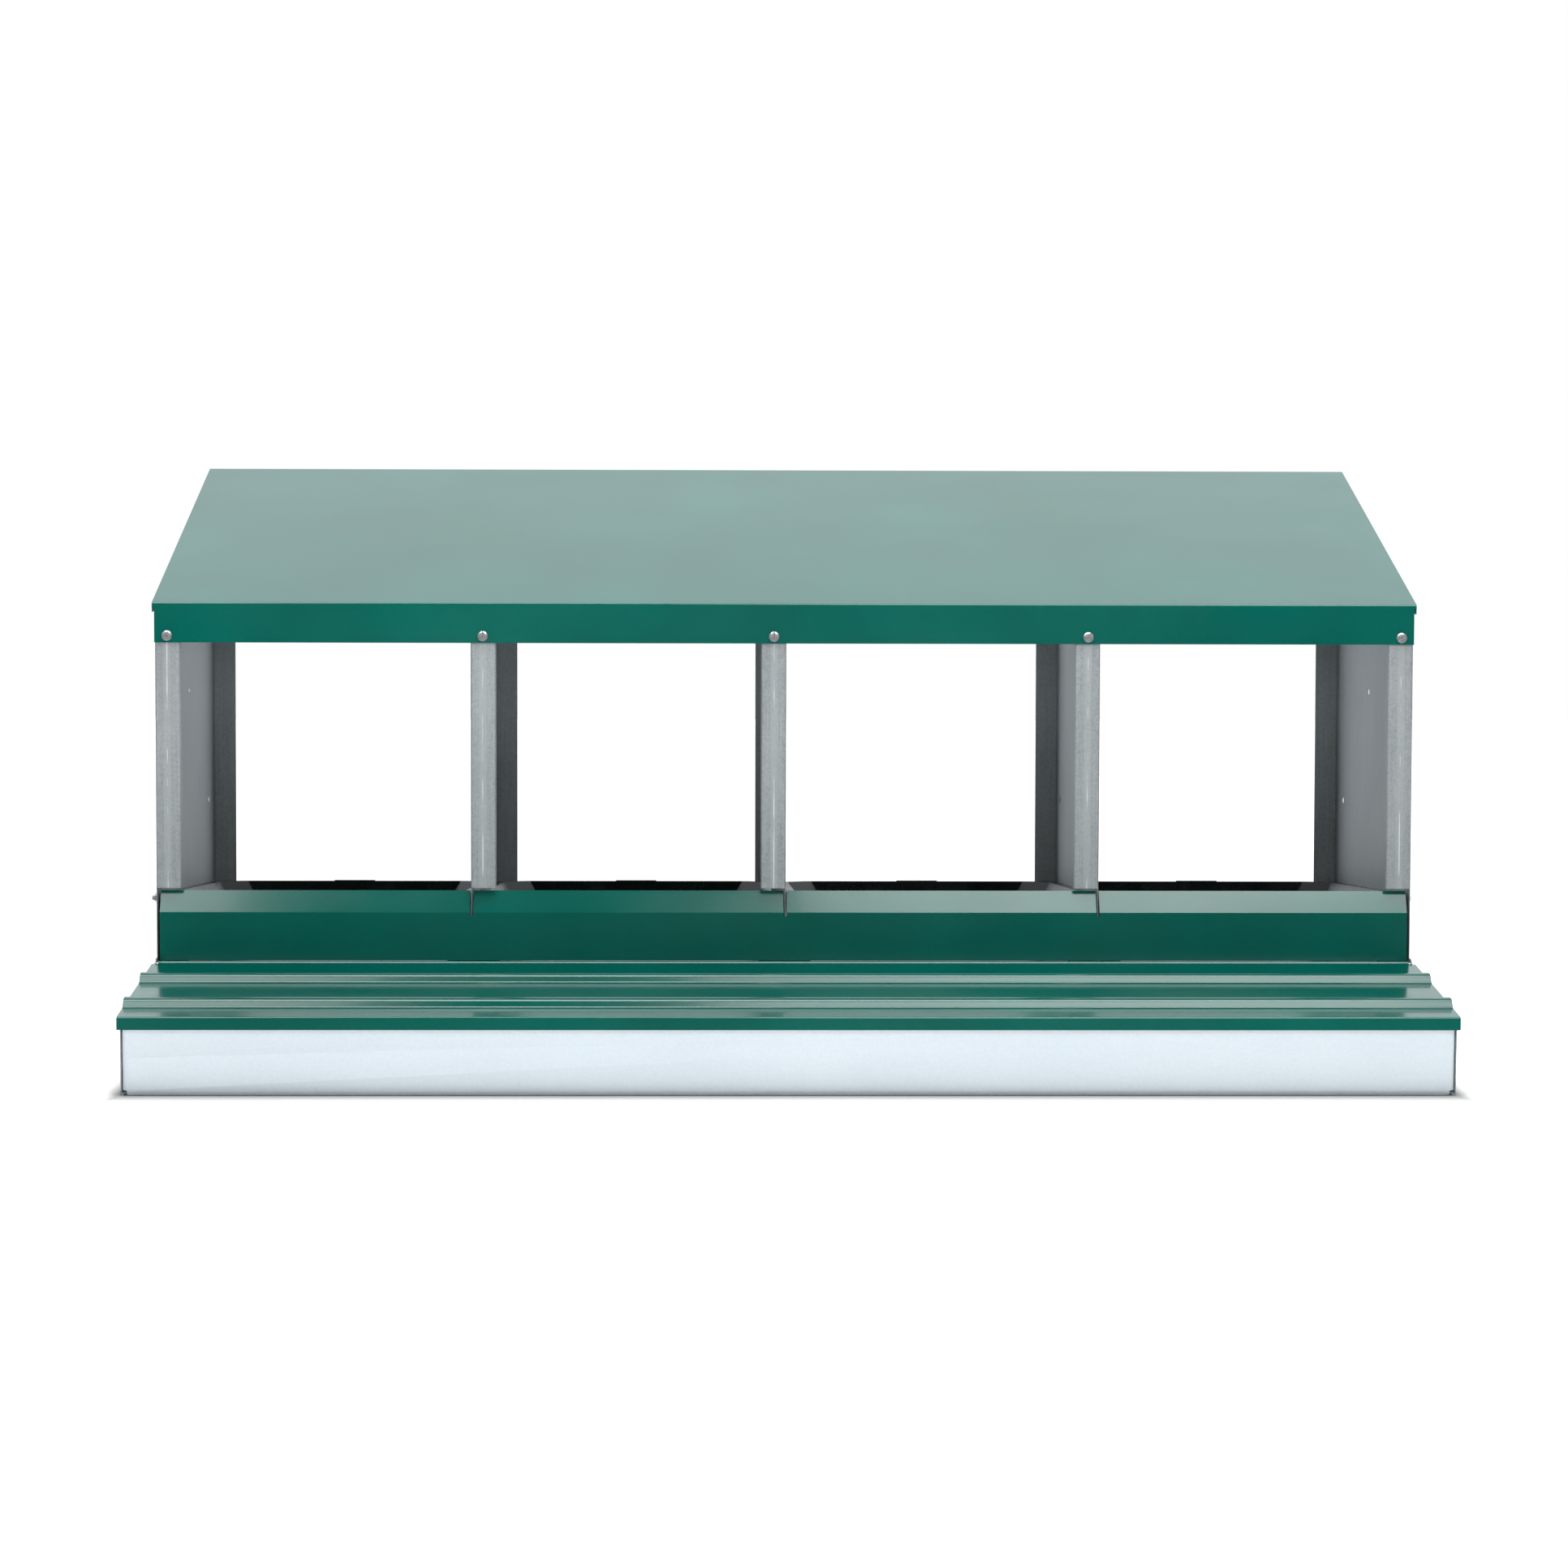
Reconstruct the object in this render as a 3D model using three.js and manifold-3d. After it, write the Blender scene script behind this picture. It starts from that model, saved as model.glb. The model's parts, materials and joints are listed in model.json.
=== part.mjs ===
// Roll-away nest box for laying hens: four nests side by side under one sloping roof, with an egg
// tray and a ribbed lid along the front. Folded sheet steel, moulded plastic nest inserts.
// Millimetres. +X to the right, +Y to the back, +Z up.

import * as THREE from 'three';
import { ConvexGeometry } from 'three/addons/geometries/ConvexGeometry.js';
import { mergeVertices } from 'three/addons/utils/BufferGeometryUtils.js';
import Module from 'manifold-3d';

const wasm = await Module();
wasm.setup();

// ---------------------------------------------------------------- driving dimensions

const WIDTH = 1200; // over the two end panels
const DEPTH = 350; // front face of the front flanges to rear face of the rear flanges
const NESTS = 4;
const SHEET = 1; // steel thickness
const GAP = 0.3; // clearance left between neighbouring pieces
const BEND = 1.5; // mid-sheet radius of a press-brake bend

const PITCH = (WIDTH - SHEET) / NESTS; // web centre to web centre
const FLANGE = 23.5; // width of the panels' front and rear flanges
const FLANGE_LIP = 7; // return along the free edge of a front flange
const PANEL_TOP_DROP = 3; // the panels end this far below the roof's top face
const FLANGE_BOTTOM = 170; // the front flanges stop just above the kick board

const ROOF_FRONT_Z = 442;
const ROOF_REAR_Z = 585;
const ROOF_WIDTH = 1205;
const FASCIA_WIDTH = 1200.6;
const FASCIA_BOTTOM = 404;
const ROOF_REAR_FLANGE = 38;
const ROOF_SIDE_FLANGE = 13;
const ROOF_SIDE_FLANGE_NOSE = 8.5; // the side flanges are this deep at the front, where they taper in
const ROOF_SCREW_Z = 410.5;

const KICK_END_GAP = 2.5; // between each end of the kick board and the end panel
const KICK_BOTTOM = 100.9;
const KICK_BEND_Z = 146.5;
const KICK_TOP = 167;
const KICK_LEAN = 9; // how far the lip leans back
const KICK_HEM = 9; // the lip's top edge is folded down behind itself by this much
const KICK_BEND = 2; // mid-sheet radius between the board and its lip
const KICK_TAB = { radius: 7, noseBack: 4, noseUp: 3, tailBack: 8, tailDown: 9 }; // bolted end tabs
const KICK_SLOT_BELOW_BEND = 3.5;
const KICK_SLOT = 3; // width of the slot that straddles each divider
const KICK_BOLT_Z = 159;
const KICK_BOLT_Y = 17;

const TRAY_REACH = 188; // front face of the tray, ahead of the front flanges
const TRAY_LEAN = 3; // the front wall's foot is set back by this much
const TRAY_TOP = 69;
const TRAY_TAB = 22; // the wall's ends turn back along the end panels
const TRAY_CORNER = 4; // mid-sheet radius of the wall's upright corners
const TRAY_HEM = 8; // the wall's top edge is turned back by this much
const TRAY_FOOT_BEND = 3;
const TRAY_NOTCH = 5; // cut out of the foot of each upright corner
const TRAY_TAB_DROP = 3; // the tabs stop this far below the wall's top
const TRAY_RIVET_Z = 54;
const TRAY_RIVET_INSET = 13; // behind the tray's front face

const FLOOR_PITCH = THREE.MathUtils.degToRad(12.5); // eggs roll forward down this slope
const PAN_UPSTAND_TOP = 140;
const PAN_SIDE_FLANGE = 16;
const PAN_OVERLAP = 16; // pan laps over the tray's rear edge
const PAN_SCREW_Z = 130;
const PAN_RIVET_Y = 170;
const PAN_CORNER_CUT = 1.5; // relief between the upstand and each side flange

const LID_WIDTH = 1205;
const LID_REACH = 189.8; // front face of the lid's front flange
const LID_REAR_Z = 100.6; // height of the lid's top face, carried back to the front flanges' plane
const LID_FRONT_Z = 72;
const LID_FLANGE_BOTTOM = 60;
const LID_RIBS = [69, 151.5]; // middle of each rib's crown, ahead of the front flanges
const RIB_HEIGHT = 7;
const RIB_CROWN = 8;
const RIB_REAR_RUN = 9; // flat-to-crown distance behind the crown
const RIB_FRONT_RUN = 5; // and ahead of it
const RIB_CROWN_BEND = 7; // mid-sheet radii of the pressed ribs
const RIB_FOOT_BEND = 5;
const LID_NOTCH = { inside: 2, ahead: 1.2, from: 80, to: 110 }; // clears the end panels' ears

const ROD_RADIUS = 2;
const ROD_Y = -5.2;
const ROD_Z = 97.6;
const ROD_CLEARANCE = 0.3;
const ROD_PEEN = [2.9, 0.8]; // radius and thickness of the rod's peened ends
const EAR_RADIUS = 5.6; // the end panel's ear round the hinge rod

const HOLE_RADIUS = 3.75; // round holes through every panel
const PANEL_HOLES = [[191, 354], [311, 236]]; // [Y, Z]

const INSERT_HALF = 147.5; // half the width of an insert over its rim
const INSERT_FRONT = 26; // clear of the kick board and its end tabs
const INSERT_REAR = 348.4;
const INSERT_RIM = 8;
const INSERT_WALL = 2.5;
const INSERT_RIM_REAR_Z = 146;
const INSERT_RIM_FRONT_Z = 163.5;
const INSERT_BEVEL_DROP = 19;
const INSERT_BEVEL_RUN = 12;
const INSERT_CORNER = 26; // chamfer of the rear corners
const INSERT_DRAFT = 6; // the walls below the bevel lean in by this much
const INSERT_LIFT_TAB = [43, 1]; // width and height of the tab on the rear rim

const SCREW_RADIUS = 2.5; // M5 throughout
const SCREW_HEAD = [5, 3]; // head radius and height
const SCREW_LENGTH = 10;
const SCREW_SLOT = [1.3, 1.1]; // slot width and depth
const NUT_ACROSS_FLATS = 8;
const NUT_HEIGHT = 4;
const KICK_BOLT_LENGTH = 11.5;
const HOLE_CLEARANCE = 0.3;
const RIVET_GRIP = 2 * SHEET + 3 * GAP; // two sheets and the gaps round them
const RIVET_RADIUS = 1.6;
const RIVET_HEAD = [3.4, 1.2];
const RIVET_TAIL = [2.5, 2.2];
const ROUND = 12; // facets round a screw, rod or hole

// ---------------------------------------------------------------- derived places

const ROOF_SLOPE = (ROOF_REAR_Z - ROOF_FRONT_Z) / DEPTH;
const LID_SLOPE = (LID_REAR_Z - LID_FRONT_Z) / TRAY_REACH;
const END_X = (NESTS / 2) * PITCH; // web centre of the end panels
const INNER_X = END_X - SHEET / 2; // inner face of the end panels
const KICK_HALF = INNER_X - KICK_END_GAP;
const KICK_FACE = -GAP - SHEET / 2; // mid-sheet plane of the kick board and the roof fascia
const FLANGE_SCREW_X = FLANGE / 2 - SHEET / 2; // screw line, from a panel's web centre
const REAR_SKIN = DEPTH + GAP + SHEET / 2; // mid-sheet plane of the roof's rear flange

/** Height of the middle of the floor sheet at a depth Y, rising to the back. */
function floorZ(y) {
  return SHEET / 2 + Math.tan(FLOOR_PITCH) * (y + TRAY_REACH - TRAY_LEAN);
}

/** Height of the insert's rim, which rises gently towards the front. */
function rimZ(y) {
  const t = (INSERT_REAR - y) / (INSERT_REAR - INSERT_FRONT);
  return INSERT_RIM_REAR_Z + t * (INSERT_RIM_FRONT_Z - INSERT_RIM_REAR_Z);
}

// ---------------------------------------------------------------- materials

const greenPaint = { color: 0x005a48, roughness: 0.28, metalness: 0.0 };
const galvanised = { color: 0x9aa2a5, roughness: 0.45, metalness: 0.85 };
const blackPlastic = { color: 0x101011, roughness: 0.25, metalness: 0.0 };
const zincPlate = { color: 0xb9bdc0, roughness: 0.3, metalness: 1.0 };

// ---------------------------------------------------------------- solids

/** A closed three.js geometry as a manifold solid. */
function solidOf(geometry) {
  const bare = geometry.clone();
  bare.deleteAttribute('normal');
  bare.deleteAttribute('uv');
  const merged = mergeVertices(bare, 1e-4);
  return new wasm.Manifold(new wasm.Mesh({
    numProp: 3,
    vertProperties: new Float32Array(merged.attributes.position.array),
    triVerts: new Uint32Array(merged.index.array),
  }));
}

/** A manifold solid as a three.js geometry. */
function geometryOf(solid) {
  const mesh = solid.getMesh();
  const geometry = new THREE.BufferGeometry();
  geometry.setAttribute('position', new THREE.Float32BufferAttribute(mesh.vertProperties, 3));
  geometry.setIndex(Array.from(mesh.triVerts));
  geometry.computeVertexNormals();
  return geometry;
}

function union(...solids) {
  return solids.reduce((whole, next) => whole.add(next));
}

function without(solid, ...cuts) {
  return cuts.reduce((rest, cut) => rest.subtract(cut), solid);
}

const AXES = {
  x: [[0, 1, 0], [0, 0, 1], [1, 0, 0]], // outline in Y,Z pushed along X
  y: [[1, 0, 0], [0, 0, 1], [0, -1, 0]], // outline in X,Z pushed along -Y
  z: [[1, 0, 0], [0, 1, 0], [0, 0, 1]], // outline in X,Y pushed along Z
};

/** Pushes an outline along an axis, from one coordinate to another. */
function prism(outline, axis, from, to) {
  const shape = new THREE.Shape(outline.map(([u, v]) => new THREE.Vector2(u, v)));
  const length = Math.abs(to - from);
  const geometry = new THREE.ExtrudeGeometry(shape, { depth: length, bevelEnabled: false });
  const [u, v, w] = AXES[axis].map((column) => new THREE.Vector3(...column));
  geometry.applyMatrix4(new THREE.Matrix4().makeBasis(u, v, w));
  const start = axis === 'y' ? Math.max(from, to) : Math.min(from, to);
  const shift = new THREE.Vector3(...{ x: [1, 0, 0], y: [0, 1, 0], z: [0, 0, 1] }[axis]);
  shift.multiplyScalar(start);
  geometry.translate(shift.x, shift.y, shift.z);
  return solidOf(geometry);
}

function block(low, high) {
  const size = high.map((value, i) => value - low[i]);
  const geometry = new THREE.BoxGeometry(...size);
  geometry.translate(...low.map((value, i) => value + size[i] / 2));
  return solidOf(geometry);
}

/** A round bar along an axis through a point, between two coordinates on that axis. */
function bar(radius, axis, [u, v], from, to, facets = ROUND) {
  const outline = [];
  for (let i = 0; i < facets; i += 1) {
    const angle = (i / facets) * 2 * Math.PI;
    outline.push([u + radius * Math.cos(angle), v + radius * Math.sin(angle)]);
  }
  return prism(outline, axis, from, to);
}

/** Points of an arc from one angle to another, in degrees. */
function arc([u, v], radius, start, end, steps) {
  const points = [];
  for (let i = 0; i <= steps; i += 1) {
    const angle = THREE.MathUtils.degToRad(start + ((end - start) * i) / steps);
    points.push([u + radius * Math.cos(angle), v + radius * Math.sin(angle)]);
  }
  return points;
}

/**
 * Outline of a folded sheet: a path along the middle of the sheet, with its corners rounded to
 * the bend radius and the thickness laid off on both sides. radii overrides the radius at
 * numbered corners.
 */
function foldedSheet(path, { thickness = SHEET, radius = BEND, radii = {}, steps = 4 } = {}) {
  const points = path.map(([u, v]) => new THREE.Vector2(u, v));
  const middle = [];
  points.forEach((point, i) => {
    if (i === 0 || i === points.length - 1) {
      const along = i === 0
        ? points[1].clone().sub(point)
        : point.clone().sub(points[i - 1]);
      middle.push({ point, along: along.normalize() });
      return;
    }
    const into = point.clone().sub(points[i - 1]).normalize();
    const out = points[i + 1].clone().sub(point).normalize();
    const turn = Math.atan2(into.cross(out), into.dot(out));
    const bend = radii[i] ?? radius;
    const setback = bend * Math.tan(Math.abs(turn) / 2);
    const side = Math.sign(turn);
    const start = point.clone().addScaledVector(into, -setback);
    const toCentre = new THREE.Vector2(-into.y, into.x).multiplyScalar(side * bend);
    const centre = start.clone().add(toCentre);
    for (let k = 0; k <= steps; k += 1) {
      const angle = (turn * k) / steps;
      const spoke = start.clone().sub(centre).rotateAround(new THREE.Vector2(), angle);
      const along = into.clone().rotateAround(new THREE.Vector2(), angle);
      middle.push({ point: centre.clone().add(spoke), along });
    }
  });
  const half = thickness / 2;
  const left = middle.map(({ point, along }) => [point.x - along.y * half, point.y + along.x * half]);
  const right = middle.map(({ point, along }) => [point.x + along.y * half, point.y - along.x * half]);
  return [...left, ...right.reverse()];
}

// ---------------------------------------------------------------- scene graph

const nestBox = new THREE.Group();

function addMesh(name, solid, finish, place = [0, 0, 0], turn = [0, 0, 0]) {
  const mesh = new THREE.Mesh(geometryOf(solid), new THREE.MeshStandardMaterial(finish));
  mesh.name = name;
  mesh.position.set(...place);
  mesh.rotation.set(...turn);
  nestBox.add(mesh);
  return mesh;
}

// ---------------------------------------------------------------- panels

/** The panels' top edge, just below the roof sheet. */
function roofUnderside(y) {
  return ROOF_FRONT_Z + ROOF_SLOPE * y - PANEL_TOP_DROP;
}

/** C-section panel with its flanges turned towards side (+1 or -1). Web centre at X = 0. */
function cPanel(side) {
  const web = 0;
  const reach = side * (FLANGE - SHEET / 2);
  const front = SHEET / 2;
  const rear = DEPTH - SHEET / 2;
  const section = foldedSheet([
    [reach, FLANGE_LIP],
    [reach, front],
    [web, front],
    [web, rear],
    [reach, rear],
  ]);
  const blank = prism(section, 'z', 0, ROOF_REAR_Z);
  const aboveRoof = prism([
    [-1, roofUnderside(-1)],
    [DEPTH + 1, roofUnderside(DEPTH + 1)],
    [DEPTH + 1, ROOF_REAR_Z + 1],
    [-1, ROOF_REAR_Z + 1],
  ], 'x', -FLANGE - 1, FLANGE + 1);
  const flangeFoot = side > 0
    ? block([SHEET / 2, -1, -1], [FLANGE + 1, FLANGE_LIP + 1, FLANGE_BOTTOM])
    : block([-FLANGE - 1, -1, -1], [-SHEET / 2, FLANGE_LIP + 1, FLANGE_BOTTOM]);
  const holes = PANEL_HOLES.map((place) => bar(HOLE_RADIUS, 'x', place, -2, 2));
  const screwX = side * FLANGE_SCREW_X;
  const bore = SCREW_RADIUS + HOLE_CLEARANCE;
  const roofBores = [
    bar(bore, 'y', [screwX, ROOF_SCREW_Z], -2, SHEET + 1),
    bar(bore, 'y', [screwX, ROOF_REAR_Z - ROOF_REAR_FLANGE / 2], DEPTH - 2, DEPTH + 2),
    bar(bore, 'y', [screwX, PAN_SCREW_Z], DEPTH - 2, DEPTH + 2),
  ];
  return without(blank, aboveRoof, flangeFoot, ...holes, ...roofBores);
}

/** Everything a divider leaves free: the floor pan with its upstand, and the space below. */
function belowPan() {
  const upstandFront = DEPTH - SHEET - GAP - SHEET - GAP;
  const over = SHEET / 2 + SHEET + GAP + GAP;
  return prism([
    [-1, -1],
    [DEPTH - SHEET, -1],
    [DEPTH - SHEET, PAN_UPSTAND_TOP + GAP],
    [upstandFront, PAN_UPSTAND_TOP + GAP],
    [upstandFront, floorZ(upstandFront) + over],
    [-1, floorZ(-1) + over],
  ], 'x', -FLANGE - 1, FLANGE + 1);
}

/** The end panel's forward plate: the tray's end wall, with an ear for the hinge rod. */
function trayEnd() {
  const underLid = SHEET + GAP;
  const earFoot = ROD_Y - EAR_RADIUS;
  const wallFace = (z) => -TRAY_REACH + TRAY_LEAN * (1 - z / TRAY_TOP) + SHEET;
  const frontTop = LID_REAR_Z - LID_SLOPE * TRAY_REACH - underLid;
  return prism([
    [SHEET, 0],
    [SHEET, ROD_Z + EAR_RADIUS],
    [ROD_Y, ROD_Z + EAR_RADIUS],
    ...arc([ROD_Y, ROD_Z], EAR_RADIUS, 100, 180, 6),
    [earFoot, LID_REAR_Z + LID_SLOPE * earFoot - underLid],
    [wallFace(TRAY_TOP), frontTop],
    [wallFace(0), 0],
  ], 'x', -SHEET / 2, SHEET / 2);
}

function endPanel(side) {
  const panel = union(cPanel(side), trayEnd());
  return without(
    panel,
    bar(ROD_RADIUS + GAP, 'x', [ROD_Y, ROD_Z], -2, 2),
    bar(SCREW_RADIUS + HOLE_CLEARANCE, 'x', [KICK_BOLT_Y, KICK_BOLT_Z], -2, 2),
    bar(RIVET_RADIUS + GAP, 'x', [TRAY_RIVET_INSET - TRAY_REACH, TRAY_RIVET_Z], -2, 2),
    bar(RIVET_RADIUS + GAP, 'x', [PAN_RIVET_Y, panRivetZ()], -2, 2),
  );
}

function panRivetZ() {
  return floorZ(PAN_RIVET_Y) - PAN_SIDE_FLANGE / 2;
}

const PANELS = [
  { name: 'left_end_panel', index: -2, side: 1, end: true },
  { name: 'divider_1', index: -1, side: 1 },
  { name: 'divider_2', index: 0, side: -1 },
  { name: 'divider_3', index: 1, side: -1 },
  { name: 'right_end_panel', index: 2, side: -1, end: true },
];

for (const { name, index, side, end } of PANELS) {
  const solid = end ? endPanel(side) : without(cPanel(side), belowPan());
  addMesh(name, solid, galvanised, [index * PITCH, 0, 0]);
}

// ---------------------------------------------------------------- roof

/** Sloping sheet with a front fascia, a rear flange and short flanges along both sides. */
function roofPanel() {
  const eaves = ROOF_FRONT_Z - SHEET / 2;
  const ridge = ROOF_REAR_Z - SHEET / 2;
  const skirt = 4 * SHEET; // how far the full-width top turns down over the narrower fascia
  const top = foldedSheet([
    [KICK_FACE, eaves - skirt],
    [KICK_FACE, eaves],
    [REAR_SKIN, ridge],
    [REAR_SKIN, ridge - skirt],
  ]);
  const sheet = foldedSheet([
    [KICK_FACE, FASCIA_BOTTOM],
    [KICK_FACE, eaves],
    [REAR_SKIN, ridge],
    [REAR_SKIN, ridge - ROOF_REAR_FLANGE],
  ]);
  const along = (y) => eaves + ((ridge - eaves) * (y - KICK_FACE)) / (REAR_SKIN - KICK_FACE);
  const sideFlange = [
    [KICK_FACE, along(KICK_FACE) - SHEET],
    [KICK_FACE, along(KICK_FACE) - ROOF_SIDE_FLANGE_NOSE],
    [KICK_FACE + ROOF_SIDE_FLANGE, along(ROOF_SIDE_FLANGE) - ROOF_SIDE_FLANGE],
    [REAR_SKIN - 2 * SHEET, along(REAR_SKIN - 2 * SHEET) - ROOF_SIDE_FLANGE],
    [REAR_SKIN - 2 * SHEET, along(REAR_SKIN - 2 * SHEET)],
    [KICK_FACE, along(KICK_FACE)],
  ];
  const half = ROOF_WIDTH / 2;
  const flanges = [-1, 1].map((side) => prism(sideFlange, 'x', side * (half - SHEET), side * half));
  const bores = PANELS.flatMap(({ index, side }) => {
    const x = index * PITCH + side * FLANGE_SCREW_X;
    const bore = SCREW_RADIUS + HOLE_CLEARANCE;
    return [
      bar(bore, 'y', [x, ROOF_SCREW_Z], -4, 2),
      bar(bore, 'y', [x, ROOF_REAR_Z - ROOF_REAR_FLANGE / 2], DEPTH - 2, DEPTH + 4),
    ];
  });
  const body = union(
    prism(sheet, 'x', -FASCIA_WIDTH / 2, FASCIA_WIDTH / 2),
    prism(top, 'x', -half, half),
    ...flanges,
  );
  return without(body, ...bores);
}

addMesh('roof_panel', roofPanel(), greenPaint);

// ---------------------------------------------------------------- kick board

/** Upright board across the nests' fronts, its lip leaned back and slotted over the dividers. */
function kickBoard() {
  const lipY = KICK_FACE + KICK_LEAN;
  const face = foldedSheet([
    [KICK_FACE, KICK_BOTTOM],
    [KICK_FACE, KICK_BEND_Z],
    [lipY, KICK_TOP],
  ], { radius: KICK_BEND });
  const lipLength = Math.hypot(KICK_LEAN, KICK_TOP - KICK_BEND_Z);
  const lean = [KICK_LEAN / lipLength, (KICK_TOP - KICK_BEND_Z) / lipLength];
  const backward = 0.9 * SHEET; // the hem is pressed flat against the lip
  const fold = [lean[1] * backward, -lean[0] * backward];
  const topHem = foldedSheet([
    [lipY + fold[0], KICK_TOP + fold[1]],
    [lipY + fold[0] - lean[0] * KICK_HEM, KICK_TOP + fold[1] - lean[1] * KICK_HEM],
  ]);
  const { radius, noseBack, noseUp, tailBack, tailDown } = KICK_TAB;
  const tab = [
    [KICK_FACE + noseBack, KICK_BEND_Z + noseUp],
    [lipY - SHEET, KICK_TOP - noseUp],
    [KICK_BOLT_Y + noseBack, KICK_TOP - SHEET],
    ...arc([KICK_BOLT_Y, KICK_BOLT_Z], radius, 30, -90, 6),
    [KICK_BOLT_Y - tailBack, KICK_BOLT_Z - tailDown],
  ];
  const tabs = [-1, 1].map((side) => {
    const outer = side * KICK_HALF;
    return prism(tab, 'x', outer - side * SHEET, outer);
  });
  const slots = PANELS.filter(({ end }) => !end).map(({ index }) => block(
    [index * PITCH - KICK_SLOT / 2, -4, KICK_BEND_Z - KICK_SLOT_BELOW_BEND],
    [index * PITCH + KICK_SLOT / 2, 30, KICK_TOP + 4],
  ));
  const bores = [-1, 1].map((side) => bar(
    SCREW_RADIUS + HOLE_CLEARANCE,
    'x',
    [KICK_BOLT_Y, KICK_BOLT_Z],
    side * (KICK_HALF - 4),
    side * (KICK_HALF + 4),
  ));
  const board = union(
    prism(face, 'x', -KICK_HALF, KICK_HALF),
    prism(topHem, 'x', -KICK_HALF, KICK_HALF),
    ...tabs,
  );
  return without(board, ...slots, ...bores);
}

addMesh('kick_board', kickBoard(), greenPaint);

// ---------------------------------------------------------------- egg tray and floor pan

/** Front wall and sloping floor of the egg tray, with the wall's ends turned back as tabs. */
function eggTray() {
  const foot = -TRAY_REACH + TRAY_LEAN + SHEET / 2;
  const head = -TRAY_REACH + SHEET / 2;
  const rear = PAN_OVERLAP;
  const half = INNER_X - GAP;
  const cornerX = half - SHEET / 2 - TRAY_CORNER;
  const section = foldedSheet([
    [head + TRAY_HEM, TRAY_TOP - SHEET / 2],
    [head, TRAY_TOP - SHEET / 2],
    [foot, SHEET / 2],
    [rear, floorZ(rear)],
  ], { radii: { 2: TRAY_FOOT_BEND } });
  const lean = Math.atan2(TRAY_LEAN, TRAY_TOP);
  const tabTop = TRAY_TOP - TRAY_TAB_DROP;
  const corner = foldedSheet([
    [0, 0],
    [half - SHEET / 2, 0],
    [half - SHEET / 2, TRAY_TAB],
  ], { radius: TRAY_CORNER, steps: 6 });
  const rightCorner = solidOf(new THREE.ExtrudeGeometry(
    new THREE.Shape(corner.map(([x, y]) => new THREE.Vector2(x, y))),
    { depth: tabTop - TRAY_NOTCH, bevelEnabled: false },
  ).translate(0, 0, TRAY_NOTCH)
    .rotateX(lean)
    .translate(0, foot, 0));
  const trimInner = block([-cornerX + 3, foot - 20, -1], [cornerX - 3, foot + 40, TRAY_TOP + 5]);
  const cornerPart = without(rightCorner, trimInner);
  const mirrored = cornerPart.mirror([1, 0, 0]);
  const wall = prism(section, 'x', -cornerX, cornerX);
  const floorFront = foot + TRAY_FOOT_BEND * 2; // behind the foot's bend
  const floorEnds = [-1, 1].map((side) => {
    const floor = foldedSheet([
      [floorFront, floorZ(floorFront - SHEET / 2)],
      [rear, floorZ(rear)],
    ]);
    return prism(floor, 'x', side * (cornerX - 1), side * half);
  });
  const bores = [-1, 1].map((side) => bar(
    RIVET_RADIUS + GAP,
    'x',
    [TRAY_RIVET_INSET - TRAY_REACH, TRAY_RIVET_Z],
    side * (half - 3),
    side * (half + 1),
  ));
  return without(union(wall, cornerPart, mirrored, ...floorEnds), ...bores);
}

addMesh('egg_tray', eggTray(), { ...galvanised, color: 0xd5dbe0 });

/** Sloping floor under the inserts: rear upstand, and flanges down along both ends. */
function floorPan() {
  const lift = SHEET + GAP; // rides on top of the tray's floor
  const front = -PAN_OVERLAP / 2;
  const upstand = DEPTH - SHEET - GAP - SHEET / 2;
  const half = INNER_X - GAP;
  const section = foldedSheet([
    [front, floorZ(front) + lift],
    [upstand, floorZ(upstand) + lift],
    [upstand, PAN_UPSTAND_TOP],
  ]);
  const flangeRear = upstand - 4;
  const flangeFront = PAN_OVERLAP + 4;
  const flange = [
    [flangeFront, floorZ(flangeFront) + lift],
    [flangeFront, floorZ(flangeFront) + lift - PAN_SIDE_FLANGE],
    [flangeRear, floorZ(flangeRear) + lift - PAN_SIDE_FLANGE],
    [flangeRear, floorZ(flangeRear) + lift],
  ];
  const flanges = [-1, 1].map((side) => prism(flange, 'x', side * (half - SHEET), side * half));
  const cornerCuts = [-1, 1].map((side) => {
    const edges = [side * (half - PAN_CORNER_CUT), side * (half + 1)].sort((a, b) => a - b);
    return block(
      [edges[0], upstand - PAN_CORNER_CUT, 0],
      [edges[1], DEPTH, PAN_UPSTAND_TOP + 1],
    );
  });
  const bores = PANELS.map(({ index, side }) => bar(
    SCREW_RADIUS + HOLE_CLEARANCE,
    'y',
    [index * PITCH + side * FLANGE_SCREW_X, PAN_SCREW_Z],
    upstand - 3,
    upstand + 3,
  ));
  const rivetBores = [-1, 1].map((side) => bar(
    RIVET_RADIUS + GAP,
    'x',
    [PAN_RIVET_Y, panRivetZ()],
    side * (half - 3),
    side * (half + 1),
  ));
  const pan = union(prism(section, 'x', -half, half), ...flanges);
  return without(pan, ...cornerCuts, ...bores, ...rivetBores);
}

addMesh('floor_pan', floorPan(), galvanised);

// ---------------------------------------------------------------- egg tray lid and hinge rod

/** Height of the middle of the lid's flat sheet, a distance ahead of the front flanges. */
function lidZ(ahead) {
  return LID_REAR_Z - LID_SLOPE * ahead - SHEET / 2;
}

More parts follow.
